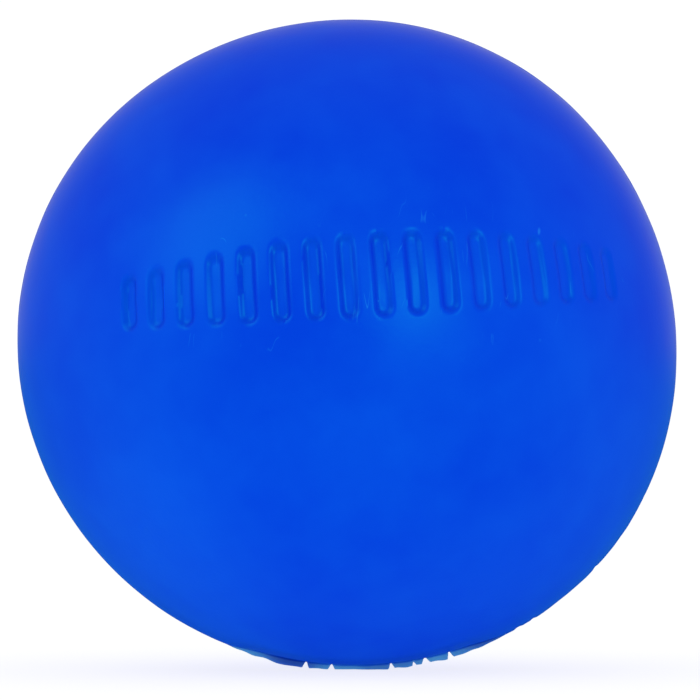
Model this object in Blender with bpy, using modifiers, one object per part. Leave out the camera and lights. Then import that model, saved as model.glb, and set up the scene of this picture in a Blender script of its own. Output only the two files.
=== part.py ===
"""A hand-squeeze stress ball, taken apart: two moulded half-skins, the bond between them, the gel
that fills them, and the plug and cement that close the filling port.

The ball stands on the flat that its own weight presses into it. +Z is up, the grip grooves face -Y,
and the origin is the middle of the flat. Every piece is turned about the front-to-back axis,
which is also the line that the halves travel along when the ball is squeezed.
"""

import math

import bmesh
import bpy
from mathutils import Matrix, Vector

MM = 0.001

# Driving dimensions
BALL_DIAMETER = 50.0 * MM
FOOT_DIAMETER = 6.0 * MM  # flat that the soft ball settles onto
SKIN_WALL = 2.0 * MM
FIT_GAP = 0.3 * MM  # clearance wherever two pieces meet

BOND_THICKNESS = 0.5 * MM  # web of the bond between the two rims
FLASH_WIDTH = 1.2 * MM  # bead of bond rubber along the parting line
FLASH_DEPTH = 0.5 * MM  # how far the bead's flanks run into the skins
FLASH_PROUD = 0.2 * MM  # how far the bead stands out of the ball

PORT_DIAMETER = 4.0 * MM  # hole through the back skin
PLUG_SHANK_CLEARANCE = FIT_GAP
PLUG_HEAD_DIAMETER = 5.4 * MM
PLUG_FLANGE_DIAMETER = 6.4 * MM  # barb that holds the plug behind the wall
PLUG_FLANGE_THICKNESS = 0.8 * MM
CEMENT_WIDTH = 0.9 * MM  # ring of cement around the plug's head
HEAD_POCKET_DEPTH = 1.0 * MM  # counterbore for the head and the cement

GROOVE_COUNT = 17
GROOVE_WIDTH = 1.3 * MM
GROOVE_DEPTH = 0.35 * MM
GROOVE_TALLEST = 6.3 * MM  # in the middle of the row
GROOVE_SHORTEST = 4.0 * MM  # at both ends of the row
GROOVE_ROW_LENGTH = 40.0 * MM  # along the ball's surface, end groove to end groove
GROOVE_END_TAPER = 0.85  # share of the cutter's section that is gone at its ends
GROOVE_ROW_TURN = math.radians(6.5)  # middle of the row, to the right of the front
GROOVE_ROW_RISE = math.radians(4.0)  # and above the row's own equator
GROOVE_ROW_LEAN = math.radians(7.5)  # the row's axis leans back at the top
GROOVE_ROW_ROLL = math.radians(4.4)  # and to the left

# How finely the round shapes are cut
TURNED_STEPS = 60
SKIN_ARC_STEPS = 14
INNER_ARC_STEPS = 9
HEAD_ARC_STEPS = 3
GROOVE_POINTS = 7
GROOVE_SIDES_RESOLUTION = 2
SHARP_ANGLE = math.radians(35)
MERGE_DISTANCE = 1e-6

# Worked out from the sizes above
BALL_RADIUS = BALL_DIAMETER / 2
CENTRE_HEIGHT = math.sqrt(BALL_RADIUS**2 - (FOOT_DIAMETER / 2) ** 2)
INNER_RADIUS = BALL_RADIUS - SKIN_WALL
CORE_RADIUS = INNER_RADIUS - FIT_GAP
RIM_HEIGHT = BOND_THICKNESS / 2 + FIT_GAP  # each rim's distance from the parting plane
PORT_RADIUS = PORT_DIAMETER / 2
HEAD_RADIUS = PLUG_HEAD_DIAMETER / 2
POCKET_RADIUS = HEAD_RADIUS + CEMENT_WIDTH + 2 * FIT_GAP
POCKET_FLOOR = BALL_RADIUS - HEAD_POCKET_DEPTH
FLANGE_RADIUS = PLUG_FLANGE_DIAMETER / 2
FLANGE_TOP = math.sqrt(INNER_RADIUS**2 - FLANGE_RADIUS**2) - FIT_GAP
FLANGE_BOTTOM = FLANGE_TOP - PLUG_FLANGE_THICKNESS

BLUE = (0.003, 0.060, 0.745, 1.0)
BOND_BLUE = (0.030, 0.090, 0.600, 1.0)
GEL_BLUE = (0.020, 0.130, 0.800, 1.0)
PLUG_BLUE = (0.004, 0.045, 0.560, 1.0)
CEMENT_CLEAR = (0.300, 0.380, 0.620, 1.0)


def clear_scene():
    for old in list(bpy.data.objects):
        bpy.data.objects.remove(old, do_unlink=True)


def collection(name):
    made = bpy.data.collections.new(name)
    bpy.context.scene.collection.children.link(made)
    return made


def material(name, colour, roughness):
    made = bpy.data.materials.new(name)
    made.use_nodes = True
    shader = made.node_tree.nodes["Principled BSDF"]
    shader.inputs["Base Color"].default_value = colour
    shader.inputs["Roughness"].default_value = roughness
    shader.inputs["Metallic"].default_value = 0.0
    made.diffuse_color = colour
    return made


def height_on(radius, out):
    """How far along the axis a sphere of this radius is, at a distance out from the axis."""
    return math.sqrt(radius**2 - out**2)


def arc(radius, first, last, steps):
    """Points (out, along) of a circle round the ball's centre, between two heights along the axis."""
    a, b = (math.asin(max(-1.0, min(1.0, height / radius))) for height in (first, last))
    angles = [a + (b - a) * n / steps for n in range(steps + 1)]
    return [(radius * math.cos(t), radius * math.sin(t)) for t in angles]


def on_axis(points, end):
    """The same points with the one at this end put exactly on the axis."""
    points[end] = (0.0, points[end][1])
    return points


def turned(name, outline, closed, finish):
    """A solid of revolution. The outline runs down its outer side; local +Z is the ball's back."""
    mesh = bpy.data.meshes.new(name)
    last = len(outline) - 1
    edges = [(n, n + 1) for n in range(last)]
    if closed:
        edges.append((last, 0))
    mesh.from_pydata([(out, 0.0, along) for out, along in outline], edges, [])
    piece = bpy.data.objects.new(name, mesh)
    piece.rotation_euler = (math.radians(-90), 0.0, 0.0)
    screw = piece.modifiers.new("turn", "SCREW")
    screw.axis = "Z"
    screw.angle = math.radians(360)
    screw.steps = TURNED_STEPS
    screw.render_steps = TURNED_STEPS
    screw.use_merge_vertices = True
    screw.merge_threshold = MERGE_DISTANCE
    mesh.materials.append(finish)
    return piece


def front_outline():
    """Bowl that opens to the back: inner wall, rim with its chamfer, then the outside."""
    inner = on_axis(arc(INNER_RADIUS, -INNER_RADIUS, -RIM_HEIGHT, INNER_ARC_STEPS), 0)
    outer = arc(BALL_RADIUS, -flash_edge(), -BALL_RADIUS, SKIN_ARC_STEPS)
    return inner + [(BALL_RADIUS - FLASH_DEPTH - FIT_GAP, -RIM_HEIGHT)] + on_axis(outer, -1)


def back_outline():
    """The same bowl turned round, with the port and the pocket for the plug's head."""
    pocket_mouth = height_on(BALL_RADIUS, POCKET_RADIUS)
    port_end = height_on(INNER_RADIUS, PORT_RADIUS)
    outer = arc(BALL_RADIUS, pocket_mouth, flash_edge(), SKIN_ARC_STEPS)
    rim = [(BALL_RADIUS - FLASH_DEPTH - FIT_GAP, RIM_HEIGHT)]
    inner = arc(INNER_RADIUS, RIM_HEIGHT, port_end, INNER_ARC_STEPS)
    pocket = [(PORT_RADIUS, POCKET_FLOOR), (POCKET_RADIUS, POCKET_FLOOR)]
    return outer + rim + inner + pocket


def flash_edge():
    """Distance from the parting plane to where the skin's outside begins, beside the bead."""
    return FLASH_WIDTH / 2 + FIT_GAP


def bond_outline():
    """T section: a rounded bead outside, and a thin web between the two rims."""
    root = BALL_RADIUS - FLASH_DEPTH
    crown = BALL_RADIUS + FLASH_PROUD
    half_bead, half_web = FLASH_WIDTH / 2, BOND_THICKNESS / 2
    shoulder = height_on(BALL_RADIUS, half_bead)
    return [
        (crown, half_web / 2),
        (crown, -half_web / 2),
        (shoulder, -half_bead),
        (root, -half_web),
        (INNER_RADIUS, -half_web),
        (INNER_RADIUS, half_web),
        (root, half_web),
        (shoulder, half_bead),
    ]


def core_outline():
    """Ball of gel with a flat-bottomed recess that clears the plug's flange."""
    recess_radius = FLANGE_RADIUS + FIT_GAP
    recess_floor = FLANGE_BOTTOM - FIT_GAP
    outer = arc(CORE_RADIUS, height_on(CORE_RADIUS, recess_radius), -CORE_RADIUS, 2 * SKIN_ARC_STEPS)
    return [(0.0, recess_floor), (recess_radius, recess_floor)] + on_axis(outer, -1)


def plug_outline():
    """Head flush with the ball, shank through the port, and a barb behind the wall."""
    shank_radius = PORT_RADIUS - PLUG_SHANK_CLEARANCE
    head_floor = POCKET_FLOOR + FIT_GAP
    head = on_axis(arc(BALL_RADIUS, BALL_RADIUS, height_on(BALL_RADIUS, HEAD_RADIUS), HEAD_ARC_STEPS), 0)
    barb_taper = PLUG_FLANGE_THICKNESS / 2
    return head + [
        (HEAD_RADIUS, head_floor),
        (shank_radius, head_floor),
        (shank_radius, FLANGE_TOP),
        (FLANGE_RADIUS, FLANGE_TOP),
        (FLANGE_RADIUS, FLANGE_TOP - barb_taper),
        (FLANGE_RADIUS - barb_taper, FLANGE_BOTTOM),
        (0.0, FLANGE_BOTTOM),
    ]


def cement_outline():
    """Ring between the plug's head and the wall of the pocket."""
    inside = HEAD_RADIUS + FIT_GAP
    outside = inside + CEMENT_WIDTH
    floor = POCKET_FLOOR + FIT_GAP
    middle = (inside + outside) / 2
    return [
        (inside, height_on(BALL_RADIUS, inside)),
        (middle, height_on(BALL_RADIUS, middle)),
        (outside, height_on(BALL_RADIUS, outside)),
        (outside, floor),
        (inside, floor),
    ]


def groove_row_frame():
    """Turns the upright row into place about the ball's centre."""
    roll = Matrix.Rotation(-GROOVE_ROW_ROLL, 4, "Y")
    lean = Matrix.Rotation(-GROOVE_ROW_LEAN, 4, "X")
    return roll @ lean @ Matrix.Rotation(GROOVE_ROW_TURN, 4, "Z")


def groove_bar(number, frame, stock):
    """One groove's cutter: a bar that follows the ball and reaches down to the groove's floor."""
    along_row = 2 * number / (GROOVE_COUNT - 1) - 1
    azimuth = along_row * GROOVE_ROW_LENGTH / 2 / BALL_RADIUS
    length = GROOVE_SHORTEST + (GROOVE_TALLEST - GROOVE_SHORTEST) * math.cos(along_row * math.pi / 2)
    axis_radius = BALL_RADIUS - GROOVE_DEPTH + GROOVE_WIDTH / 2
    curve = bpy.data.curves.new(f"groove_{number + 1:02d}", "CURVE")
    curve.dimensions = "3D"
    curve.bevel_depth = GROOVE_WIDTH / 2
    curve.bevel_resolution = GROOVE_SIDES_RESOLUTION
    curve.use_fill_caps = True
    spline = curve.splines.new("POLY")
    spline.points.add(GROOVE_POINTS - 1)
    for n, point in enumerate(spline.points):
        along_groove = 2 * n / (GROOVE_POINTS - 1) - 1
        latitude = GROOVE_ROW_RISE + along_groove * length / 2 / BALL_RADIUS
        flat = axis_radius * math.cos(latitude)
        height = axis_radius * math.sin(latitude)
        place = Vector((flat * math.sin(azimuth), -flat * math.cos(azimuth), height))
        point.co = (*(frame @ place), 1.0)
        point.radius = math.sqrt(1.0 - GROOVE_END_TAPER * along_groove**4)
    bar = bpy.data.objects.new(curve.name, curve)
    stock.objects.link(bar)
    return bar


def solid_from_curve(curve_object, stock):
    """The curve as a closed mesh, its caps welded on."""
    graph = bpy.context.evaluated_depsgraph_get()
    mesh = bpy.data.meshes.new_from_object(curve_object.evaluated_get(graph))
    welder = bmesh.new()
    welder.from_mesh(mesh)
    bmesh.ops.remove_doubles(welder, verts=welder.verts, dist=MERGE_DISTANCE)
    bmesh.ops.recalc_face_normals(welder, faces=welder.faces)
    welder.to_mesh(mesh)
    welder.free()
    solid = bpy.data.objects.new(curve_object.name + "_solid", mesh)
    solid.matrix_world = curve_object.matrix_world
    bpy.data.objects.remove(curve_object, do_unlink=True)
    stock.objects.link(solid)
    return solid


def as_guide(guide):
    guide.hide_render = True
    guide.display_type = "WIRE"


def cut_grooves(skin, stock):
    """Cuts the row of grip grooves into the front skin."""
    centre = Matrix.Translation((0.0, 0.0, CENTRE_HEIGHT))
    frame = centre @ groove_row_frame()
    bars = [groove_bar(number, frame, stock) for number in range(GROOVE_COUNT)]
    bpy.context.view_layer.update()
    for bar in bars:
        as_guide(solid_from_curve(bar, stock))
    cut = skin.modifiers.new("grip_grooves", "BOOLEAN")
    cut.operation = "DIFFERENCE"
    cut.operand_type = "COLLECTION"
    cut.collection = stock
    cut.solver = "EXACT"


def ground_block(stock):
    """The block of floor that the resting flat is cut with."""
    mesh = bpy.data.meshes.new("ground")
    block = bmesh.new()
    bmesh.ops.create_cube(block, size=2 * BALL_DIAMETER)
    bmesh.ops.translate(block, verts=block.verts, vec=(0.0, 0.0, -BALL_DIAMETER))
    block.to_mesh(mesh)
    block.free()
    ground = bpy.data.objects.new("ground", mesh)
    stock.objects.link(ground)
    as_guide(ground)
    return ground


def settle_on(piece, ground):
    """Cuts the piece flat where the ball rests."""
    cut = piece.modifiers.new("foot", "BOOLEAN")
    cut.operation = "DIFFERENCE"
    cut.object = ground
    cut.solver = "EXACT"


def shade_round(piece):
    """Keeps the evaluated shape and shades it smooth up to its real edges."""
    graph = bpy.context.evaluated_depsgraph_get()
    mesh = bpy.data.meshes.new_from_object(piece.evaluated_get(graph))
    mesh.name = piece.name
    piece.modifiers.clear()
    piece.data = mesh
    mesh.shade_smooth()
    mesh.set_sharp_from_angle(angle=SHARP_ANGLE)


def half(name, home):
    """An empty at the ball's centre, on the line of the squeeze, that carries one moving group."""
    carrier = bpy.data.objects.new(name, None)
    carrier.location = (0.0, 0.0, CENTRE_HEIGHT)
    carrier.empty_display_size = BALL_RADIUS / 2
    home.objects.link(carrier)
    return carrier


def build():
    clear_scene()
    home = collection("stress_ball")
    tools = collection("cutters")
    groove_stock = collection("groove_cutters")

    skin_blue = material("front_skin_blue", BLUE, 0.38)
    back_blue = material("back_skin_blue", BLUE, 0.38)
    bond_blue = material("seam_bond_blue", BOND_BLUE, 0.45)
    gel_blue = material("gel_core_blue", GEL_BLUE, 0.15)
    plug_blue = material("fill_plug_blue", PLUG_BLUE, 0.40)
    cement = material("plug_cement_clear", CEMENT_CLEAR, 0.30)

    front, middle, back = (half(name, home) for name in ("front_half", "middle_plane", "back_half"))
    pieces = {
        front: [turned("front_skin", front_outline(), False, skin_blue)],
        middle: [
            turned("seam_bond", bond_outline(), True, bond_blue),
            turned("gel_core", core_outline(), False, gel_blue),
        ],
        back: [
            turned("back_skin", back_outline(), True, back_blue),
            turned("fill_plug", plug_outline(), False, plug_blue),
            turned("plug_cement", cement_outline(), True, cement),
        ],
    }
    for carrier, carried in pieces.items():
        for piece in carried:
            home.objects.link(piece)
            piece.parent = carrier
    bpy.context.view_layer.update()

    ground = ground_block(tools)
    cut_grooves(bpy.data.objects["front_skin"], groove_stock)
    for name in ("front_skin", "seam_bond", "back_skin"):
        settle_on(bpy.data.objects[name], ground)
    bpy.context.view_layer.update()
    for carried in pieces.values():
        for piece in carried:
            shade_round(piece)


build()
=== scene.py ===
# A blue hand-squeeze ball: its looks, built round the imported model.
# Metres, Z up, grip grooves towards -Y. Every piece of the ball keeps its place in its own mesh.
import math

import bpy
import numpy as np
from mathutils import Matrix, Vector


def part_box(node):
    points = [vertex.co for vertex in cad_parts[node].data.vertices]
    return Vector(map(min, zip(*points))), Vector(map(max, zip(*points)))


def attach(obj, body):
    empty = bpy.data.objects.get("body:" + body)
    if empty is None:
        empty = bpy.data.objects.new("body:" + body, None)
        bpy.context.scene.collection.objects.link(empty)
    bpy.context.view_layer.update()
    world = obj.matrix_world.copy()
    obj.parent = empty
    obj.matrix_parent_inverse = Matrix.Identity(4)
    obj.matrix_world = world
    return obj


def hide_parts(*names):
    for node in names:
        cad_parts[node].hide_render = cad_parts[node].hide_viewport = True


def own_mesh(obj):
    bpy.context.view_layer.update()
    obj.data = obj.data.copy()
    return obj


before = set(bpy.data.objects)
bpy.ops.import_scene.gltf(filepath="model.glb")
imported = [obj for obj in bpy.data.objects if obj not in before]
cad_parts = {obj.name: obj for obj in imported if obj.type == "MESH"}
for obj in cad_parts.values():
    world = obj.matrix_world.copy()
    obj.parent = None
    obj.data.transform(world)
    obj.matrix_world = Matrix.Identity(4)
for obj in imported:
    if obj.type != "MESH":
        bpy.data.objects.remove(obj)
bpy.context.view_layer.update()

mm = 0.001

# the ball's own measures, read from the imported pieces
plugLow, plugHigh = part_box("fill_plug")
coreLow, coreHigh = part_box("gel_core")
ballRadius = plugHigh.y  # the plug's head is flush with the back of the ball
centreHeight = (plugLow.z + plugHigh.z) / 2
coreRadius = (coreHigh.x - coreLow.x) / 2


# shape helpers

def smooth(low, high, value):
    # 0 below low, 1 above high, and an S-curve 3t^2 - 2t^3 between them
    t = np.clip((value - low) / (high - low), 0, 1)
    return t * t * (3 - 2 * t)


def ripple(angle, seed, lowest, highest, fade):
    # sum of whole-number waves round a ring, each at its own random phase and weaker by number^-fade
    rng = np.random.default_rng(seed)
    waves = np.arange(lowest, highest + 1)
    strengths = waves ** -float(fade)
    phases = rng.uniform(0, 2 * np.pi, len(waves))
    total = (np.sin(angle[..., None] * waves + phases) * strengths).sum(-1)
    return total / math.sqrt((strengths**2).sum() / 2)


def swells(points, seed, wavelength, count=12, shortest=0.7, longest=1.5):
    # soft lumpy field, mostly from -1 to 1: the sum of plane waves in random directions at random phases,
    # each between the shortest and the longest share of the wavelength
    rng = np.random.default_rng(seed)
    ways = rng.normal(size=(count, 3))
    ways /= np.linalg.norm(ways, axis=1)[:, None]
    ways *= 2 * np.pi / (wavelength * rng.uniform(shortest, longest, count))[:, None]
    phases = rng.uniform(0, 2 * np.pi, count)
    return np.sin(points @ ways.T + phases).sum(1) / math.sqrt(count / 2)


ballForm = {
    "lumps": [  # waves round the outline, height, and the first crest's turn in degrees
        (2, 0.257 * mm, -21),
        (3, 0.118 * mm, -51),
        (4, 0.062 * mm, -31),
    ],
    "fullness": -0.03 * mm,  # added to the radius everywhere
    "trimDepth": 0.28 * mm,  # how far the skins were cut back beside the flash
    "trimFrom": (247, 254),  # degrees round the outline where the cut comes in
    "trimTo": (291, 299),  # and where it runs out
    "trimReach": (3.5 * mm, 8.0 * mm),  # from the parting plane, where it starts to fade and where it ends
    "floorSoftness": 0.05 * mm,  # how gently the underside flattens where it meets the floor
}


def trimmed(angle):
    # 1 along the trimmed stretch of the outline, 0 elsewhere, with an S-curve at both ends
    degrees = np.degrees(angle) % 360
    return smooth(*ballForm["trimFrom"], degrees) * (1 - smooth(*ballForm["trimTo"], degrees))


def ballPlace(points):
    # each point moves along its own direction, out by the lumps and in by the trim; a lump is height x
    # sin(angle from the front)^waves x cos(waves x (angle round the outline - turn)); then
    # z = (z + sqrt(z^2 + softness^2)) / 2 keeps the point off the floor
    reach = np.linalg.norm(points, axis=1)
    direction = points / reach[:, None]
    outward = np.hypot(direction[:, 0], direction[:, 2])
    angle = np.arctan2(direction[:, 2], direction[:, 0])
    rise = np.full(len(points), ballForm["fullness"])
    for waves, height, turn in ballForm["lumps"]:
        rise += height * outward**waves * np.cos(waves * (angle - math.radians(turn)))
    besideFlash = 1 - smooth(*ballForm["trimReach"], np.abs(points[:, 1]))
    rise -= ballForm["trimDepth"] * trimmed(angle) * besideFlash
    places = direction * (reach * (1 + rise / ballRadius))[:, None]
    places[:, 2] += centreHeight
    softness = ballForm["floorSoftness"]
    places[:, 2] = (places[:, 2] + np.sqrt(places[:, 2] ** 2 + softness**2)) / 2
    return places


def stripFaces(first, second):
    # quads between two rings of vertex numbers that both run round to their own start
    return np.stack([np.roll(first, -1), first, second, np.roll(second, -1)], 1)


def loft(rings, closed, ends=None):
    # surface through rings of points (ring, step, xyz); closed joins the last ring to the first, and
    # otherwise the two end points close it
    count, around = rings.shape[:2]
    points = rings.reshape(-1, 3)
    numbers = np.arange(count * around).reshape(count, around)
    faces = [stripFaces(a, b) for a, b in zip(numbers[:-1], numbers[1:])]
    if closed:
        faces.append(stripFaces(numbers[-1], numbers[0]))
        return points, [np.concatenate(faces)]
    first = np.full(around, len(points))
    fans = [
        np.stack([numbers[0], np.roll(numbers[0], -1), first], 1),
        np.stack([np.roll(numbers[-1], -1), numbers[-1], first + 1], 1),
    ]
    return np.concatenate([points, ends]), [np.concatenate(faces), *fans]


def turned(profile, around, closed):
    # the profile (out, along) carried round the front-to-back line: x = out cos a, y = along, z = out sin a
    angle = np.arange(around) * 2 * np.pi / around
    section = profile if closed else profile[1:-1]
    out, along = section[:, :1], section[:, 1:]
    rings = np.stack([out * np.cos(angle), along + 0 * angle, out * np.sin(angle)], 2)
    ends = np.array([[0, profile[0, 1], 0], [0, profile[-1, 1], 0]])
    return loft(rings, closed, ends)


def arcLine(radius, first, last, count):
    # points (out, along) on a circle round the ball's centre, from one height along the line to another
    angle = np.linspace(math.asin(first / radius), math.asin(last / radius), count)
    return np.stack([radius * np.cos(angle), radius * np.sin(angle)], 1)


def onCircle(radius, out):
    # how far along the front-to-back line a circle is at this distance from the line
    return math.sqrt(radius**2 - out**2)


def roundedLine(corners, reach, steps=5, sideShare=0.45):
    # each inner corner B becomes a parabola (1-t)^2 A + 2t(1-t) B + t^2 C, where A and C are a reach away
    # from it on its two sides, or sideShare of a side that is too short for that
    corners = np.asarray(corners, float)
    t = np.linspace(0, 1, steps)[:, None]
    pieces = [corners[:1]]
    for before, at, after in zip(corners[:-2], corners[1:-1], corners[2:]):
        start, end = (
            at + (side - at) * min(reach / np.linalg.norm(side - at), sideShare) for side in (before, after)
        )
        pieces.append((1 - t) ** 2 * start + 2 * t * (1 - t) * at + t**2 * end)
    return np.concatenate([*pieces, corners[-1:]])


def enclosedVolume(points, faces):
    # sum of the signed tetrahedra between each triangle and the origin
    total = 0.0
    for group in faces:
        for n in range(1, group.shape[1] - 1):
            a, b, c = (points[group[:, k]] for k in (0, n, n + 1))
            total += np.einsum("ij,ij->", a, np.cross(b, c)) / 6
    return total


def addPiece(name, points, faces, finish, sharpAngle, **marks):
    # a closed mesh with its faces turned outwards; marks are numbers kept at each point for its finish
    if enclosedVolume(points, faces) < 0:
        faces = [group[:, ::-1] for group in faces]
    mesh = bpy.data.meshes.new(name)
    mesh.from_pydata(points.tolist(), [], [face for group in faces for face in group.tolist()])
    mesh.shade_smooth()
    mesh.set_sharp_from_angle(angle=math.radians(sharpAngle))
    place = mesh.attributes.new("restPlace", "FLOAT_VECTOR", "POINT")
    place.data.foreach_set("vector", points.astype(np.float32).ravel())
    for mark, values in marks.items():
        kept = mesh.attributes.new(mark, "FLOAT", "POINT")
        kept.data.foreach_set("value", values.astype(np.float32))
    mesh.materials.append(finish)
    piece = bpy.data.objects.new(name, mesh)
    bpy.context.scene.collection.objects.link(piece)
    triangles = sum(len(group) * (group.shape[1] - 2) for group in faces)
    print(f"{name}: {triangles} triangles")
    return piece


# materials

def fill(tree, made, inputs):
    # sets a node's inputs, each to a number, a colour or another node's output
    for key, value in inputs.items():
        if isinstance(value, bpy.types.NodeSocket):
            tree.links.new(value, made.inputs[key])
        else:
            made.inputs[key].default_value = value


def node(tree, kind, inputs=None, **settings):
    # one shader node with its settings, which come first because some of them change its inputs
    made = tree.nodes.new("ShaderNode" + kind)
    for key, value in settings.items():
        setattr(made, key, value)
    fill(tree, made, inputs or {})
    return made


def maths(tree, operation, first, second=0.0):
    return node(tree, "Math", {0: first, 1: second}, operation=operation).outputs[0]


def mixed(tree, mask, first, second):
    # first where the mask is 0, second where it is 1
    return node(tree, "Mix", {0: mask, 6: first, 7: second}, data_type="RGBA").outputs[2]


def remap(tree, value, low, high, newLow, newHigh):
    # low becomes newLow and high becomes newHigh, held at both ends
    inputs = {"Value": value, "From Min": low, "From Max": high, "To Min": newLow, "To Max": newHigh}
    return node(tree, "MapRange", inputs, clamp=True).outputs[0]


def newGroup(name, inputs, outputs):
    # an empty node group with named sockets, its inputs as numbers with a starting value or as vectors
    tree = bpy.data.node_groups.new(name, "ShaderNodeTree")
    for label, value in inputs.items():
        kind = "NodeSocketVector" if value is None else "NodeSocketFloat"
        socket = tree.interface.new_socket(name=label, in_out="INPUT", socket_type=kind)
        if value is not None:
            socket.default_value = value
    for label in outputs:
        tree.interface.new_socket(name=label, in_out="OUTPUT", socket_type="NodeSocketFloat")
    return tree, tree.nodes.new("NodeGroupInput").outputs, tree.nodes.new("NodeGroupOutput").inputs


def noise(tree, place, scale, detail=2.0, roughness=0.5):
    inputs = {"Vector": place, "Scale": scale, "Detail": detail, "Roughness": roughness}
    return node(tree, "TexNoise", inputs).outputs[0]


mottle = {
    "fineShare": 0.35,  # strength of the fine noise against the broad
    "range": (0.45, 0.9),  # the sum's low and high, which become 0 and 1
}


def makeMottle():
    # soft clouds: broad noise plus a share of finer noise, stretched to run from 0 to 1
    inputs = {"Place": None, "Broad": 90.0, "Fine": 420.0}
    tree, given, result = newGroup("softMottle", inputs, ["Mask"])
    broad = noise(tree, given["Place"], given["Broad"])
    fine = noise(tree, given["Place"], given["Fine"])
    total = maths(tree, "ADD", broad, maths(tree, "MULTIPLY", fine, mottle["fineShare"]))
    tree.links.new(remap(tree, total, *mottle["range"], 0.0, 1.0), result["Mask"])
    return tree


peel = {
    "detail": 3.0,
    "roughness": 0.55,
    "patchRange": (0.4, 0.65),  # the patch noise's low and high
    "patchStrength": (0.25, 1.0),  # and the strengths that they give the peel
}


def makePeel():
    # moulded orange-peel: fine noise, fading in and out in patches
    inputs = {"Place": None, "Fineness": 3200.0, "Patches": 110.0}
    tree, given, result = newGroup("mouldPeel", inputs, ["Height"])
    grain = noise(tree, given["Place"], given["Fineness"], peel["detail"], peel["roughness"])
    broad = noise(tree, given["Place"], given["Patches"], 1.0)
    patch = remap(tree, broad, *peel["patchRange"], *peel["patchStrength"])
    tree.links.new(maths(tree, "MULTIPLY", grain, patch), result["Height"])
    return tree


streakSpeck = {
    "stretch": (3.0, 1.0, 0.55),
    "lineWidth": 0.006,  # how far the stretched noise may be from its middle
    "whereScale": 500.0,
    "whereRange": (0.58, 0.66),
    "speckSize": (0.03, 0.06),  # full inside the first distance, gone at the second
    "speckless": 0.8,  # share of the random points that carry no speck
}


def makeStreakSpeck():
    # masks of thin lines where a stretched noise is at its middle, kept only where another noise is
    # high, and of specks where the nearest random point is very close; on the skin they are handling scuffs
    # that are also painted glints, and in the gel and cement the specks are bubbles
    inputs = {"Place": None, "Lines": 260.0, "Specks": 420.0}
    tree, given, result = newGroup("streakSpeckMasks", inputs, ["Scratches", "Specks"])
    stretched = node(tree, "Mapping", {"Vector": given["Place"], "Scale": streakSpeck["stretch"]}).outputs[0]
    wave = maths(tree, "SUBTRACT", noise(tree, stretched, given["Lines"], 1.0), 0.5)
    line = remap(tree, maths(tree, "ABSOLUTE", wave), 0.0, streakSpeck["lineWidth"], 1.0, 0.0)
    broad = noise(tree, given["Place"], streakSpeck["whereScale"], 1.0)
    where = remap(tree, broad, *streakSpeck["whereRange"], 0.0, 1.0)
    tree.links.new(maths(tree, "MULTIPLY", line, where), result["Scratches"])
    point = node(tree, "TexVoronoi", {"Vector": given["Place"], "Scale": given["Specks"]})
    dot = remap(tree, point.outputs["Distance"], *streakSpeck["speckSize"], 1.0, 0.0)
    chance = node(tree, "SeparateColor", {"Color": point.outputs["Color"]}).outputs[0]
    chosen = maths(tree, "GREATER_THAN", chance, streakSpeck["speckless"])
    tree.links.new(maths(tree, "MULTIPLY", dot, chosen), result["Specks"])
    return tree


groups = {"mottle": makeMottle(), "peel": makePeel(), "streakSpeck": makeStreakSpeck()}


def useGroup(tree, name, inputs):
    made = node(tree, "Group", node_tree=groups[name])
    fill(tree, made, inputs)
    return made.outputs


def newFinish(name):
    # a material with its Principled shader, and the place that each point has on the unsqueezed ball
    finish = bpy.data.materials.new(name)
    finish.use_nodes = True
    tree = finish.node_tree
    shader = tree.nodes["Principled BSDF"]
    place = node(tree, "Attribute", attribute_name="restPlace").outputs["Vector"]
    return finish, tree, shader, place


def mark(tree, name):
    return node(tree, "Attribute", attribute_name=name).outputs["Fac"]


def bumped(tree, height, distance):
    inputs = {"Height": height, "Distance": distance, "Strength": 1.0}
    return node(tree, "Bump", inputs).outputs[0]


skinLook = {
    "deep": (0.0020, 0.024, 0.82, 1),
    "pale": (0.0050, 0.046, 0.87, 1),
    # painted shade: a darker blue along the grooves' slopes
    "creaseShade": (0.0004, 0.018, 0.62, 1),
    "grooveFloor": (0.0060, 0.066, 0.90, 1),
    # pale handling scuffs beside the grooves, which also serve as painted glints
    "scuffAndGlint": (0.040, 0.190, 0.95, 1),
    # how strongly the painted shade along the slopes darkens the colour
    "creaseShadeStrength": 0.30,
    "floorStrength": 0.30,
    # how strongly the scuffs and painted glints show
    "scuffAndGlintStrength": 0.7,
    "specularTint": (0.03, 1.0, 0.62, 1),
    "roughness": (0.33, 0.40),
    "ior": 1.5,
    "peelDepth": 0.011 * mm,
    "speckHeight": 2.0,  # times the depth of the peel
}


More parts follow.
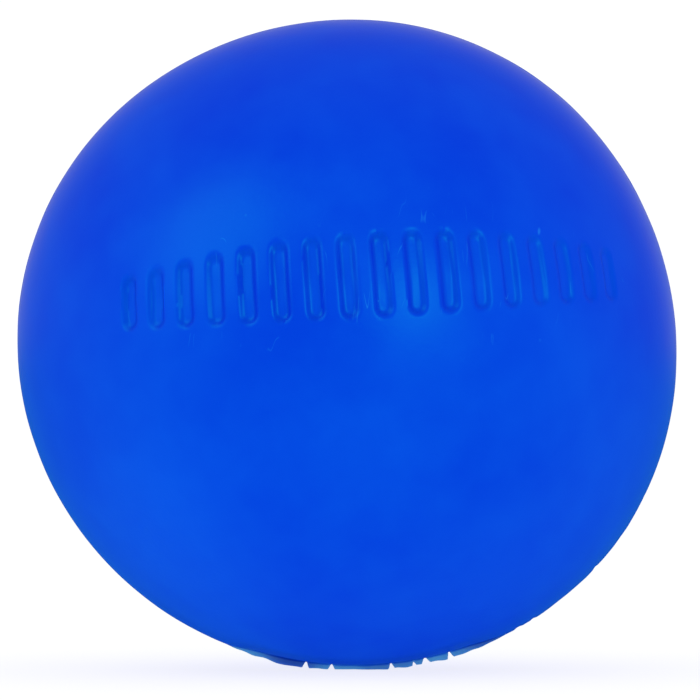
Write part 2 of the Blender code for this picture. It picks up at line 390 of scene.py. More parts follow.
def makeSkinFinish():
    finish, tree, shader, place = newFinish("skinElastomer")
    cloud = useGroup(tree, "mottle", {"Place": place})["Mask"]
    marks = useGroup(tree, "streakSpeck", {"Place": place})
    grain = useGroup(tree, "peel", {"Place": place})["Height"]
    scuffGlintZone = mark(tree, "scuffGlintZone")
    # scuffs beside the grooves, which also stand as painted glints
    scuffGlintStreak = maths(tree, "MULTIPLY", marks["Scratches"], scuffGlintZone)
    scuffGlintSpeck = maths(tree, "MULTIPLY", marks["Specks"], scuffGlintZone)
    scuffAndGlint = maths(tree, "MULTIPLY", maths(tree, "MAXIMUM", scuffGlintStreak, scuffGlintSpeck), skinLook["scuffAndGlintStrength"])
    floor = maths(tree, "MULTIPLY", mark(tree, "sunk"), skinLook["floorStrength"])
    # painted shade along the grooves' slopes
    creaseShade = maths(tree, "MULTIPLY", mark(tree, "creaseShade"), skinLook["creaseShadeStrength"])
    colour = mixed(tree, cloud, skinLook["deep"], skinLook["pale"])
    colour = mixed(tree, floor, colour, skinLook["grooveFloor"])
    colour = mixed(tree, creaseShade, colour, skinLook["creaseShade"])
    colour = mixed(tree, scuffAndGlint, colour, skinLook["scuffAndGlint"])
    tree.links.new(colour, shader.inputs["Base Color"])
    tree.links.new(remap(tree, cloud, 0.0, 1.0, *skinLook["roughness"]), shader.inputs["Roughness"])
    height = maths(tree, "ADD", grain, maths(tree, "MULTIPLY", scuffGlintSpeck, skinLook["speckHeight"]))
    tree.links.new(bumped(tree, height, skinLook["peelDepth"]), shader.inputs["Normal"])
    shader.inputs["Specular Tint"].default_value = skinLook["specularTint"]
    shader.inputs["IOR"].default_value = skinLook["ior"]
    return finish


bondLook = {
    "inside": (0.002, 0.055, 0.66, 1),
    "flash": (0.42, 0.30, 0.72, 1),
    "clouds": {"Broad": 500.0, "Fine": 1600.0},
    "cloudShare": (0.75, 1.0),  # of the flash's colour, from the darkest cloud to the lightest
    "roughness": (0.36, 0.50),
    "peelFineness": 5200.0,
    "peelDepth": 0.008 * mm,
}


def makeBondFinish():
    finish, tree, shader, place = newFinish("bondRubber")
    cloud = useGroup(tree, "mottle", {"Place": place, **bondLook["clouds"]})["Mask"]
    grain = useGroup(tree, "peel", {"Place": place, "Fineness": bondLook["peelFineness"]})["Height"]
    clouded = remap(tree, cloud, 0.0, 1.0, *bondLook["cloudShare"])
    thin = maths(tree, "MULTIPLY", mark(tree, "thinness"), clouded)
    colour = mixed(tree, thin, bondLook["inside"], bondLook["flash"])
    tree.links.new(colour, shader.inputs["Base Color"])
    tree.links.new(remap(tree, cloud, 0.0, 1.0, *bondLook["roughness"]), shader.inputs["Roughness"])
    tree.links.new(bumped(tree, grain, bondLook["peelDepth"]), shader.inputs["Normal"])
    shader.inputs["Specular Tint"].default_value = skinLook["specularTint"]
    return finish


gelLook = {
    "deep": (0.003, 0.060, 0.62, 1),
    "pale": (0.020, 0.150, 0.85, 1),
    "bubble": (0.10, 0.30, 0.90, 1),
    "clouds": {"Broad": 140.0, "Fine": 700.0},
    "bubbleScale": 700.0,
    "roughness": (0.08, 0.16),
    "unevenDepth": 0.05 * mm,
    "glow": 0.3,  # share of the light that passes under the surface
    "glowReach": 2 * mm,
    "glowColour": (0.2, 0.5, 1.0),
}


def makeGelFinish():
    finish, tree, shader, place = newFinish("gel")
    cloud = useGroup(tree, "mottle", {"Place": place, **gelLook["clouds"]})["Mask"]
    bubbles = useGroup(tree, "streakSpeck", {"Place": place, "Specks": gelLook["bubbleScale"]})["Specks"]
    colour = mixed(tree, cloud, gelLook["deep"], gelLook["pale"])
    colour = mixed(tree, bubbles, colour, gelLook["bubble"])
    tree.links.new(colour, shader.inputs["Base Color"])
    tree.links.new(remap(tree, cloud, 0.0, 1.0, *gelLook["roughness"]), shader.inputs["Roughness"])
    tree.links.new(bumped(tree, cloud, gelLook["unevenDepth"]), shader.inputs["Normal"])
    shader.inputs["Subsurface Weight"].default_value = gelLook["glow"]
    shader.inputs["Subsurface Radius"].default_value = gelLook["glowColour"]
    shader.inputs["Subsurface Scale"].default_value = gelLook["glowReach"]
    return finish


plugLook = {
    "deep": (0.0030, 0.024, 0.60, 1),
    "pale": (0.0060, 0.040, 0.70, 1),
    "clouds": {"Broad": 600.0, "Fine": 2400.0},
    "peelScale": {"Fineness": 4200.0, "Patches": 500.0},
    "peelDepth": 0.012 * mm,
    "roughness": (0.36, 0.46),
}


def makePlugFinish():
    finish, tree, shader, place = newFinish("plugElastomer")
    cloud = useGroup(tree, "mottle", {"Place": place, **plugLook["clouds"]})["Mask"]
    grain = useGroup(tree, "peel", {"Place": place, **plugLook["peelScale"]})["Height"]
    tree.links.new(mixed(tree, cloud, plugLook["deep"], plugLook["pale"]), shader.inputs["Base Color"])
    tree.links.new(remap(tree, cloud, 0.0, 1.0, *plugLook["roughness"]), shader.inputs["Roughness"])
    tree.links.new(bumped(tree, grain, plugLook["peelDepth"]), shader.inputs["Normal"])
    shader.inputs["Specular Tint"].default_value = skinLook["specularTint"]
    return finish


cementLook = {
    "thin": (0.006, 0.052, 0.72, 1),
    "thick": (0.040, 0.105, 0.76, 1),
    "bubble": (0.16, 0.30, 0.80, 1),
    "clouds": {"Broad": 700.0, "Fine": 2600.0},
    "bubbleScale": 1500.0,
    "roughness": (0.10, 0.22),
    "unevenDepth": 0.03 * mm,
}


def makeCementFinish():
    finish, tree, shader, place = newFinish("cement")
    cloud = useGroup(tree, "mottle", {"Place": place, **cementLook["clouds"]})["Mask"]
    bubbles = useGroup(tree, "streakSpeck", {"Place": place, "Specks": cementLook["bubbleScale"]})["Specks"]
    colour = mixed(tree, cloud, cementLook["thin"], cementLook["thick"])
    colour = mixed(tree, bubbles, colour, cementLook["bubble"])
    tree.links.new(colour, shader.inputs["Base Color"])
    tree.links.new(remap(tree, cloud, 0.0, 1.0, *cementLook["roughness"]), shader.inputs["Roughness"])
    tree.links.new(bumped(tree, cloud, cementLook["unevenDepth"]), shader.inputs["Normal"])
    return finish


# front skin

frontSkin = {
    "columns": 416,
    "rows": 180,
    "columnCrowding": 0.12,  # 0 is an even grid, and nearer 1 is closer in the middle
    "rowCrowding": 0.5,
    "rimPlace": 0.40 * mm,  # where the outside ends, from the parting plane
    "rimRound": 0.16 * mm,
    "wallSteps": 9,
    "wallGap": 0.1 * mm,  # between the wall's inside and the gel
    "sharpAngle": 40,  # degrees between faces, above which an edge is shaded sharp
}
grooveRow = {
    "count": 17,
    "width": 1.35 * mm,
    "depth": 0.34 * mm,
    "longest": 6.3 * mm,
    "shortest": 4.0 * mm,
    "length": 40.0 * mm,
    "turn": 6.5,  # degrees, as are the next three
    "rise": 4.0,
    "lean": 7.5,
    "roll": 4.4,
    "shoulder": 0.34 * mm,  # how far inside a groove's edge its slope ends
    "shoulderOutside": 0.3,  # and how far outside it starts, as a share of that
    "wornFrom": -0.1,  # where the wear starts, from -1 at the row's left end to 1 at its right end
    "wornTo": 0.62,  # what is left of a groove's depth at the worn right end
    # width of the band of painted shade along each groove's slope
    "creaseShadeWidth": 0.20 * mm,
    # the scuffs, which also serve as painted glints, reach this far from a groove's edge
    "scuffGlintReach": 2.2 * mm,  # how far from a groove's edge the handling marks go
    "scuffGlintEnds": 1.1,  # and how far along the row, as a share of its half length
    "unevenness": 0.08,  # share of the depth that the grooves' floors wander by
    "unevenLength": 3 * mm,
    "unevenSeed": 3,
}


def grooveRowAxes():
    # turns the upright row into its place about the ball's centre: roll x lean x turn
    roll = Matrix.Rotation(-math.radians(grooveRow["roll"]), 3, "Y")
    lean = Matrix.Rotation(-math.radians(grooveRow["lean"]), 3, "X")
    return np.array(roll @ lean @ Matrix.Rotation(math.radians(grooveRow["turn"]), 3, "Z"))


def grooveShape(direction):
    # how far inside the nearest groove's edge a point is, as on a capsule: half the width less
    # sqrt(across^2 + past the end^2); the depth grows with it in an S-curve over the shoulder, and a band of
    # painted shade runs along the slope, half a shoulder inside the edge
    local = direction @ grooveRowAxes()
    azimuth = np.arctan2(local[:, 0], -local[:, 1])
    latitude = np.arcsin(np.clip(local[:, 2], -1, 1))
    limit = grooveRow["length"] / 2 / ballRadius
    spacing = 2 * limit / (grooveRow["count"] - 1)
    number = np.clip(np.round((azimuth + limit) / spacing), 0, grooveRow["count"] - 1)
    grooveAzimuth = number * spacing - limit
    across = (azimuth - grooveAzimuth) * np.cos(latitude) * ballRadius
    bulge = np.cos(grooveAzimuth / limit * np.pi / 2)
    tall = grooveRow["shortest"] + (grooveRow["longest"] - grooveRow["shortest"]) * bulge
    upright = (latitude - math.radians(grooveRow["rise"])) * ballRadius
    past = np.maximum(np.abs(upright) - (tall - grooveRow["width"]) / 2, 0)
    edge = grooveRow["width"] / 2 - np.hypot(across, past)
    shoulder = grooveRow["shoulder"]
    sunk = smooth(-shoulder * grooveRow["shoulderOutside"], shoulder, edge)
    worn = 1 - (1 - grooveRow["wornTo"]) * smooth(grooveRow["wornFrom"], 1, azimuth / limit)
    # painted shade along the slope, weaker where the grooves are worn
    creaseShade = np.exp(-(((edge - shoulder / 2) / grooveRow["creaseShadeWidth"]) ** 2)) * worn
    # where the scuffs and painted glints go: near the grooves' edges, along the row
    besideRow = np.abs(azimuth) < limit * grooveRow["scuffGlintEnds"]
    scuffGlintZone = np.exp(-((edge / grooveRow["scuffGlintReach"]) ** 2)) * besideRow
    return sunk * worn, creaseShade, scuffGlintZone


def makeFrontSkin(finish):
    # square grid (u, v) drawn onto a disc by x = u sqrt(1 - v^2/2), z = v sqrt(1 - u^2/2), then wrapped on
    # the ball so that the distance from the disc's middle becomes the angle from the front
    s, t = (np.linspace(-1, 1, frontSkin[key] + 1) for key in ("columns", "rows"))
    u = s - frontSkin["columnCrowding"] * np.sin(np.pi * s) / np.pi
    v = t - frontSkin["rowCrowding"] * np.sin(np.pi * t) / np.pi
    u, v = np.meshgrid(u, v, indexing="ij")
    x, z = u * np.sqrt(1 - v**2 / 2), v * np.sqrt(1 - u**2 / 2)
    roll = math.radians(grooveRow["roll"])
    x, z = x * math.cos(roll) - z * math.sin(roll), x * math.sin(roll) + z * math.cos(roll)
    away, around = np.hypot(x, z).ravel(), np.arctan2(z, x).ravel()
    rimAngle = math.acos((frontSkin["rimPlace"] + frontSkin["rimRound"]) / ballRadius)
    angle = away * rimAngle
    face = np.stack([np.sin(angle) * np.cos(around), -np.cos(angle), np.sin(angle) * np.sin(around)], 1)
    sunk, creaseShade, scuffGlintZone = grooveShape(face)
    swell = swells(face * ballRadius, grooveRow["unevenSeed"], grooveRow["unevenLength"])
    uneven = 1 + grooveRow["unevenness"] * swell
    points = face * (ballRadius - grooveRow["depth"] * sunk * uneven)[:, None]

    # the rim, the inner wall and its middle point go on from the edge of the grid
    columns, rows = frontSkin["columns"], frontSkin["rows"]
    number = np.arange((columns + 1) * (rows + 1)).reshape(columns + 1, rows + 1)
    edge = np.concatenate([number[:-1, 0], number[-1, :-1], number[:0:-1, -1], number[0, :0:-1]])
    wallRadius = coreRadius + frontSkin["wallGap"]
    rimPlace, rimRound = frontSkin["rimPlace"], frontSkin["rimRound"]
    rim = roundedLine(
        [
            (onCircle(ballRadius, rimPlace + rimRound), -rimPlace - rimRound),
            (onCircle(ballRadius, rimPlace), -rimPlace),
            (onCircle(wallRadius, rimPlace), -rimPlace),
            (onCircle(wallRadius, rimPlace + rimRound), -rimPlace - rimRound),
        ],
        rimRound,
    )
    wall = arcLine(wallRadius, -rimPlace - rimRound, -wallRadius, frontSkin["wallSteps"] + 2)
    profile = np.concatenate([rim[1:], wall[1:-1]])
    out, along = profile[:, :1], profile[:, 1:]
    ringAngle = around[edge]
    rings = np.stack([out * np.cos(ringAngle), along + 0 * ringAngle, out * np.sin(ringAngle)], 2)
    count = len(points)
    ringNumber = count + np.arange(rings.shape[0] * len(edge)).reshape(rings.shape[0], -1)
    middle = count + rings.shape[0] * len(edge)
    points = np.concatenate([points, rings.reshape(-1, 3), [[0, -wallRadius, 0]]])
    quads = np.stack([number[:-1, :-1], number[1:, :-1], number[1:, 1:], number[:-1, 1:]], 2).reshape(-1, 4)
    chain = [edge, *ringNumber]
    strips = [stripFaces(a, b) for a, b in zip(chain[:-1], chain[1:])]
    fan = np.stack([np.roll(chain[-1], -1), chain[-1], np.full(len(edge), middle)], 1)
    plain = np.zeros(len(points) - count)
    marks = {"sunk": sunk, "creaseShade": creaseShade, "scuffGlintZone": scuffGlintZone}
    marks = {name: np.concatenate([values, plain]) for name, values in marks.items()}
    faces = [np.concatenate([quads, *strips]), fan]
    sharpAngle = frontSkin["sharpAngle"]
    return addPiece("front_skin_moulding", ballPlace(points), faces, finish, sharpAngle, **marks)


# back skin

backSkin = {
    "around": 400,
    "faceSteps": 130,
    "wallSteps": 30,
    "portRadius": 2.0 * mm,
    "pocketRadius": 4.2 * mm,
    "pocketDepth": 1.0 * mm,
    "edgeRound": 0.14 * mm,
    "sharpAngle": 40,
}


def makeBackSkin(finish):
    # closed section turned about the front-to-back line: outside, rim, inner wall, port, pocket
    rimPlace, rimRound = frontSkin["rimPlace"], frontSkin["rimRound"]
    wallRadius = coreRadius + frontSkin["wallGap"]
    pocket, port, roundness = backSkin["pocketRadius"], backSkin["portRadius"], backSkin["edgeRound"]
    mouth = onCircle(ballRadius, pocket)
    floor = ballRadius - backSkin["pocketDepth"]
    rimTop = rimPlace + rimRound
    face = arcLine(ballRadius, onCircle(ballRadius, pocket + roundness), rimTop, backSkin["faceSteps"])
    rim = roundedLine(
        [
            (onCircle(ballRadius, rimTop), rimTop),
            (onCircle(ballRadius, rimPlace), rimPlace),
            (onCircle(wallRadius, rimPlace), rimPlace),
            (onCircle(wallRadius, rimTop), rimTop),
        ],
        rimRound,
    )
    wall = arcLine(wallRadius, rimTop, onCircle(wallRadius, port), backSkin["wallSteps"])
    step = roundedLine(
        [
            (port, onCircle(wallRadius, port)),
            (port, floor),
            (pocket, floor),
            (pocket, mouth),
            (pocket + roundness, onCircle(ballRadius, pocket + roundness)),
        ],
        roundness,
    )
    section = np.concatenate([face[:-1], rim[:-1], wall[:-1], step[:-1]])
    points, faces = turned(section, backSkin["around"], True)
    return addPiece("back_skin_moulding", ballPlace(points), faces, finish, backSkin["sharpAngle"])


# bond between the halves

bond = {
    "around": 1500,
    "sharpAngle": 50,
    "beadWaves": (8, 6, 60, 0.5),  # seed, fewest and most waves round the ring, and fade; so are the rest
    "proudWaves": (9, 3, 40, 0.6),
    "finWaves": (11, 25, 110, 0.3),
    "leanWaves": (5, 4, 30, 0.6),
    "beadWidth": 0.72 * mm,
    "beadUneven": 0.05,
    "beadProud": 0.05 * mm,  # how far the bead stands out of the ball
    "proudUneven": 0.15,
    "webWidth": 0.5 * mm,
    "webGap": 0.15 * mm,  # between the web's inner edge and the gel
    "finWidth": 0.16 * mm,
    "finReach": 0.47 * mm,  # how far the flash stands out of the bead along the trimmed stretch
    "finLeast": 0.01 * mm,
    "finRagged": 0.10,  # share of the reach that its edge wavers by
    "finLean": 0.5,  # share of the reach that it leans aside by
    "tailReach": 0.07 * mm,
    "tailTo": (322, 340),  # degrees round the outline where the tail runs out
    "paleReach": (0.04 * mm, 0.16 * mm),  # the fin turns pale as its reach grows past these
    "paleFrom": 0.3,  # share of the fin's height above which it's fully pale
    "tearPeak": 1.3,  # height of each tear's V, which is cut off at 1
    "tears": [  # middle and width in degrees, and share of the flash that is gone
        (262.4, 0.9, 1.0),
        (267.0, 1.0, 1.0),
        (277.6, 0.8, 1.0),
        (281.6, 0.5, 0.7),
        (283.7, 1.2, 1.0),
        (288.1, 0.8, 1.0),
        (301.0, 1.4, 1.0),
        (304.0, 1.0, 0.8),
        (318.0, 0.9, 0.9),
        (333.0, 0.8, 0.9),
    ],
}


def flashReach(angle):
    # full reach along the trimmed stretch and a thinner tail after it, times a ragged edge, less each
    # tear's V
    degrees = np.degrees(angle) % 360
    full = trimmed(angle) * bond["finReach"]
    tail = smooth(*ballForm["trimTo"], degrees) * (1 - smooth(*bond["tailTo"], degrees)) * bond["tailReach"]
    ragged = 1 + bond["finRagged"] * ripple(angle, *bond["finWaves"])
    reach = (full + tail) * ragged
    for middle, width, share in bond["tears"]:
        vee = bond["tearPeak"] - np.abs(degrees - middle) / (width / 2)
        reach *= 1 - share * np.clip(vee, 0, 1)
    return np.maximum(reach, bond["finLeast"])


def makeBond(finish):
    # T section carried round the parting line: a thin web between the rims, a low bead outside them, and on
    # the bead a fin of flash whose reach and lean change round the ring
    angle = np.arange(bond["around"]) * 2 * np.pi / bond["around"]
    reach = flashReach(angle)
    lean = reach * bond["finLean"] * ripple(angle, *bond["leanWaves"])
    bead = bond["beadWidth"] / 2 * (1 + bond["beadUneven"] * ripple(angle, *bond["beadWaves"]))
    proud = bond["beadProud"] * (1 + bond["proudUneven"] * ripple(angle, *bond["proudWaves"]))
    web, fin = bond["webWidth"] / 2, bond["finWidth"] / 2
    inner = coreRadius + bond["webGap"] - ballRadius
    # from the web to the tip of the fin: out from the ball's surface, to the side, and share of the lean
    half = [
        (inner, web, 0),
        (inner * 0.62, web, 0),
        (inner * 0.28, web, 0),
        (-0.24 * mm, bead * 0.86, 0),
        (-0.10 * mm, bead, 0),
        (-0.01 * mm, bead, 0),
        (proud * 0.7, bead * 0.78, 0),
        (proud, bead * 0.5, 0),
        (proud + reach * 0.08, fin * 1.15, 0.05),
        (proud + reach * 0.35, fin, 0.3),
        (proud + reach * 0.65, fin * 0.85, 0.65),
        (proud + reach * 0.9, fin * 0.7, 0.9),
        (proud + reach, fin * 0.3, 1.0),
    ]
    loop = [(out, -side, share) for out, side, share in half] + half[::-1]
    rings = []
    for out, side, share in loop:
        radius = ballRadius + out
        rings.append(np.stack([radius * np.cos(angle), side + lean * share, radius * np.sin(angle)], 1))
    pale = smooth(*bond["paleReach"], reach)
    thinness = np.concatenate([pale * smooth(0, bond["paleFrom"], share) for _, _, share in loop])
    points, faces = loft(np.stack(rings), True)
    sharpAngle = bond["sharpAngle"]
    return addPiece("seam_bond_ring", ballPlace(points), faces, finish, sharpAngle, thinness=thinness)


# gel, plug and cement

gelCore = {
    "around": 240,
    "steps": 150,
    "recessRadius": 3.5 * mm,
    "recessRound": 0.3 * mm,
    "roundSteps": 7,
    "recessFloor": 0.3 * mm,  # how far the recess goes past the plug's end
    "swell": 0.04 * mm,
    "swellLength": 14 * mm,
    "swellSeed": 21,
    "sharpAngle": 40,
}


def makeGelCore(finish):
    # ball of gel, pole to pole, with the flat-bottomed recess that its plug left in it
    radius, recess = coreRadius, gelCore["recessRadius"]
    floor = plugLow.y - gelCore["recessFloor"]
    lip = recess + gelCore["recessRound"]
    mouth = onCircle(radius, lip)
    corners = [(0, floor), (recess, floor), (recess, onCircle(radius, recess)), (lip, mouth)]
    top = roundedLine(corners, gelCore["recessRound"], gelCore["roundSteps"])
    side = arcLine(radius, mouth, -radius, gelCore["steps"])
    points, faces = turned(np.concatenate([top[:-1], side]), gelCore["around"], False)
    swell = swells(points, gelCore["swellSeed"], gelCore["swellLength"])
    points *= (1 + gelCore["swell"] * swell / radius)[:, None]
    return addPiece("gel_core_casting", ballPlace(points), faces, finish, gelCore["sharpAngle"])


fillPlug = {
    "around": 120,
    "headRadius": 2.7 * mm,
    "shankRadius": 1.7 * mm,
    "flangeRadius": 3.2 * mm,
    "flangeThickness": 0.8 * mm,
    "dimpleRadius": 0.55 * mm,
    "dimpleDepth": 0.16 * mm,
    "headSteps": 40,
    "headGap": 0.05 * mm,  # under the head
    "edgeRound": 0.22 * mm,
    "roundSteps": 6,
    "sharpAngle": 40,
}


def makeFillPlug(finish):
    # head flush with the ball and dimpled where it was moulded, shank through the wall, barb behind it
    head, shank, flange = (fillPlug[key] for key in ("headRadius", "shankRadius", "flangeRadius"))
    under = ballRadius - backSkin["pocketDepth"] + fillPlug["headGap"]
    barbTop = plugLow.y + fillPlug["flangeThickness"]
    taper = fillPlug["flangeThickness"] / 2
    out = np.linspace(0, head, fillPlug["headSteps"])
    dimple = fillPlug["dimpleDepth"] * np.exp(-((out / fillPlug["dimpleRadius"]) ** 2))
    crown = np.stack([out, np.sqrt(ballRadius**2 - out**2) - dimple], 1)
    body = roundedLine(
        [
            crown[-2],
            crown[-1],
            (head, under),
            (shank, under),
            (shank, barbTop),
            (flange, barbTop),
            (flange, barbTop - taper),
            (flange - taper, plugLow.y),
            (0, plugLow.y),
        ],
        fillPlug["edgeRound"],
        fillPlug["roundSteps"],
    )
    points, faces = turned(np.concatenate([crown[:-2], body]), fillPlug["around"], False)
    return addPiece("fill_plug_moulding", ballPlace(points), faces, finish, fillPlug["sharpAngle"])


cementRing = {
    "around": 260,
    "unevenWaves": (31, 2, 14, 0.8),  # as for the bond
    "inside": 2.74 * mm,
    "outside": 4.16 * mm,
    "hollow": 0.10 * mm,  # how far the set cement sinks between its two edges
    "hollowUneven": 0.5,
    "hollowSteps": 15,
    "smear": 0.20 * mm,  # how far the film was wiped out over the skin
    "smearUneven": 0.45,
    "film": 0.03 * mm,
    "filmLeast": 0.004 * mm,
    "filmShares": (0.35, 0.7, 0.93, 1.0),  # of the way out to the film's edge
    "filmEdge": (0.02 * mm, 0.03 * mm),  # how far the edge turns in, and goes under the skin's face
    "filmRoot": 0.12 * mm,  # how deep the film's underside meets the pocket's wall
    "insideRise": 0.5 * mm,  # a step up the side against the plug's head
    "floorGap": 0.05 * mm,  # under the cement
    "sharpAngle": 50,
}


def makeCement(finish):
    # ring that sags between the plug's head and the pocket's wall, by 4 share (1 - share) x hollow, with an
    # uneven film wiped over the skin that thins out by sqrt(1 - share^2)
    angle = np.arange(cementRing["around"]) * 2 * np.pi / cementRing["around"]
    uneven = ripple(angle, *cementRing["unevenWaves"])
    inside, outside, film = (cementRing[key] for key in ("inside", "outside", "film"))
    wiped = outside + cementRing["smear"] * (1 + cementRing["smearUneven"] * uneven)
    hollow = cementRing["hollow"] * (1 + cementRing["hollowUneven"] * uneven)
    floor = ballRadius - backSkin["pocketDepth"] + cementRing["floorGap"]
    section = [(inside, floor), (inside, floor + cementRing["insideRise"])]
    for share in np.linspace(0, 1, cementRing["hollowSteps"]):
        out = inside + share * (outside - inside)
        section.append((out, onCircle(ballRadius, out) - 4 * share * (1 - share) * hollow + film * share))
    for share in cementRing["filmShares"]:
        out = outside + share * (wiped - outside)
        thickness = film * math.sqrt(1 - share**2) + cementRing["filmLeast"]
        section.append((out, np.sqrt(ballRadius**2 - out**2) + thickness))
    turnIn, under = cementRing["filmEdge"]
    section.append((wiped - turnIn, np.sqrt(ballRadius**2 - wiped**2) - under))
    section.append((outside, onCircle(ballRadius, outside) - cementRing["filmRoot"]))
    section.append((outside, floor))
    rings = [[out * np.cos(angle), along + 0 * angle, out * np.sin(angle)] for out, along in section]
    points, faces = loft(np.stack([np.stack(ring, 1) for ring in rings]), True)
    return addPiece("plug_cement_ring", ballPlace(points), faces, finish, cementRing["sharpAngle"])


skinFinish = makeSkinFinish()
frontAnchor = (0, -ballRadius, centreHeight)
backAnchor = (0, ballRadius, centreHeight)
midAnchor = (0, 0, centreHeight)

assembly = [  # piece, the body that it rides on, where it flattens towards, its slot, the node it stands for
    (makeFrontSkin(skinFinish), "front_half", frontAnchor, "skin_elastomer", "front_skin"),
    (makeBackSkin(skinFinish), "back_half", backAnchor, "skin_elastomer", "back_skin"),
    (makeBond(makeBondFinish()), "middle", midAnchor, "bond_rubber", "seam_bond"),
    (makeGelCore(makeGelFinish()), "middle", midAnchor, "gel", "gel_core"),
    (makeFillPlug(makePlugFinish()), "back_half", backAnchor, "plug_elastomer", "fill_plug"),
    (makeCement(makeCementFinish()), "back_half", backAnchor, "cement", "plug_cement"),
]
for piece, body, anchor, slotName, nodeName in assembly:
    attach(piece, body)
    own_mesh(piece)
    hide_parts(nodeName)
print("pieces ride on their bodies")


# floor, light and camera

studio = {
    "floorReach": 4.0,  # metres, as are the other lengths here
    "floorAround": 64,
    "floorRings": 12,
    "floorInside": 0.05,  # share of the reach where the first ring is
    "paper": ((0.97, 0.97, 0.97, 1), (1, 1, 1, 1)),
    "paperClouds": {"Broad": 6.0, "Fine": 30.0},
    "floorColour": {  # what each kind of ray meets, and how much the floor glows besides
        "camera": (0.96, 0.26, 0.26, 1),
        "gloss": (0.10, 0.28, 0.36, 1),
        "other": (0.35, 0.35, 0.35, 1),
    },
    "floorGlow": {
        "camera": (0.80, 0.80, 0.80, 1),
        "gloss": (0.0, 0.0, 0.0, 1),
        "other": (0.16, 0.84, 0.65, 1),
    },
    "skyColour": {
        "camera": (1.05, 1.05, 1.05, 1),
        "gloss": (0.08, 0.17, 0.30, 1),
        "other": (0.25, 0.93, 0.93, 1),
    },
    "behindColour": (0.85, 0.78, 1.0, 1),  # in reflections, straight behind the ball
    "behindFocus": 12.0,
    "glint": (0.04, 0.6, 0.6, 1),  # the patch of table beside the ball that the window lights
    "glintPlace": (-0.030, -0.022, 0.0),
    "glintReach": 0.036,  # how far from its place it has faded out
}
lamps = [  # name, place from the ball's centre, width, power in watts, colour
    ("windowLeft", (-0.39, -0.30, 0.335), 0.42, 0.85, (0.36, 0.90, 1.0)),
    ("softboxFront", (0.30, -0.70, 0.22), 0.26, 1.05, (0.55, 0.95, 1.0)),
]


def rayColour(tree, colours):
    # the camera colour for camera rays, the gloss colour for reflections, and the other colour for the rest
    seen = node(tree, "LightPath").outputs
    byGloss = mixed(tree, seen["Is Glossy Ray"], colours["other"], colours["gloss"])
    return mixed(tree, seen["Is Camera Ray"], byGloss, colours["camera"])


def makeFloor():
    # disc of rings: point = ring share x reach x (cos a, sin a)
    around, ringCount = studio["floorAround"], studio["floorRings"]
    angle = np.arange(around) * 2 * np.pi / around
    shares = np.linspace(studio["floorInside"], 1, ringCount)[:, None]
    x, y = (shares * studio["floorReach"] * wave(angle) for wave in (np.cos, np.sin))
    points = np.stack([x, y, 0 * x], 2).reshape(-1, 3)
    number = np.arange(len(points)).reshape(ringCount, around)
    quads = np.concatenate([stripFaces(b, a) for a, b in zip(number[:-1], number[1:])])
    mesh = bpy.data.meshes.new("floor")
    mesh.from_pydata(points.tolist(), [], [number[0].tolist(), *quads.tolist()])
    floor = bpy.data.objects.new("floor", mesh)
    bpy.context.scene.collection.objects.link(floor)
    finish = bpy.data.materials.new("paleFloor")
    finish.use_nodes = True
    tree = finish.node_tree
    shader = tree.nodes["Principled BSDF"]
    place = node(tree, "TexCoord").outputs["Object"]
    tone = useGroup(tree, "mottle", {"Place": place, **studio["paperClouds"]})["Mask"]
    paper = mixed(tree, tone, *studio["paper"])
    layers = {0: 1.0, 6: rayColour(tree, studio["floorColour"]), 7: paper}
    tinted = node(tree, "Mix", layers, data_type="RGBA", blend_type="MULTIPLY")
    tree.links.new(tinted.outputs[2], shader.inputs["Base Color"])
    apart = node(tree, "VectorMath", {0: place, 1: studio["glintPlace"]}, operation="DISTANCE")
    near = remap(tree, apart.outputs["Value"], 0.0, studio["glintReach"], 1.0, 0.0)
    glossGlow = mixed(tree, near, studio["floorGlow"]["gloss"], studio["glint"])
    glows = dict(studio["floorGlow"], gloss=glossGlow)
    tree.links.new(rayColour(tree, glows), shader.inputs["Emission Color"])
    shader.inputs["Emission Strength"].default_value = 1.0
    shader.inputs["Roughness"].default_value = 1.0
    shader.inputs["Specular IOR Level"].default_value = 0.0
    finish.cycles.emission_sampling = "NONE"  # so that each kind of ray meets its own glow
    mesh.materials.append(finish)


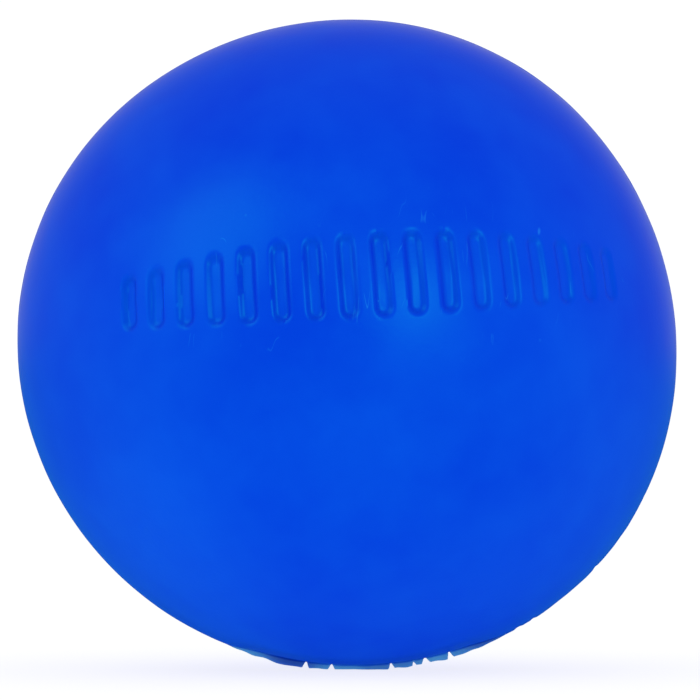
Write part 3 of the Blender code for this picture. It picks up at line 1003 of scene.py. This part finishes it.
def makeSky():
    # white to the camera and even for diffuse light; in reflections it turns from one colour to another by
    # y^focus, where y is how far the direction points away behind the ball
    sky = bpy.data.worlds.new("studioSky")
    sky.use_nodes = True
    tree = sky.node_tree
    direction = node(tree, "TexCoord").outputs["Generated"]
    behind = maths(tree, "MAXIMUM", node(tree, "SeparateXYZ", {0: direction}).outputs["Y"], 0.0)
    focused = maths(tree, "POWER", behind, studio["behindFocus"])
    reflected = mixed(tree, focused, studio["skyColour"]["gloss"], studio["behindColour"])
    colours = dict(studio["skyColour"], gloss=reflected)
    tree.links.new(rayColour(tree, colours), tree.nodes["Background"].inputs["Color"])
    sky.cycles.sampling_method = "NONE"  # as on the floor
    bpy.context.scene.world = sky


def makeLamp(name, place, width, power, colour):
    # a soft round lamp that faces the ball and shows only as a sheen on it
    light = bpy.data.lights.new(name, "AREA")
    light.shape = "DISK"
    light.size = width
    light.energy = power
    light.color = colour
    lamp = bpy.data.objects.new(name, light)
    lamp.location = Vector(place) + Vector((0, 0, centreHeight))
    lamp.rotation_mode = "QUATERNION"
    lamp.rotation_quaternion = (-Vector(place)).to_track_quat("-Z", "Y")
    lamp.visible_camera = False
    lamp.visible_diffuse = False
    bpy.context.scene.collection.objects.link(lamp)


camera = {
    "distance": 0.50,  # metres from the ball's centre
    "right": 0.12 * mm,
    "below": 0.40 * mm,  # how far under the ball's centre it stands
    "lens": 336.5,
    "sensor": 36.0,
    "sees": (0.01, 20),  # metres, from its nearest to its farthest
}


def makeCamera():
    lens = bpy.data.cameras.new("camera")
    lens.lens = camera["lens"]
    lens.sensor_width = camera["sensor"]
    lens.clip_start, lens.clip_end = camera["sees"]
    eye = bpy.data.objects.new("camera", lens)
    eye.location = (camera["right"], -camera["distance"], centreHeight - camera["below"])
    eye.rotation_euler = (math.radians(90), 0, 0)
    bpy.context.scene.collection.objects.link(eye)
    bpy.context.scene.camera = eye


makeFloor()
makeSky()
for lamp in lamps:
    makeLamp(*lamp)
makeCamera()
bpy.context.scene.view_settings.view_transform = "Standard"
print("floor, light and camera are set")
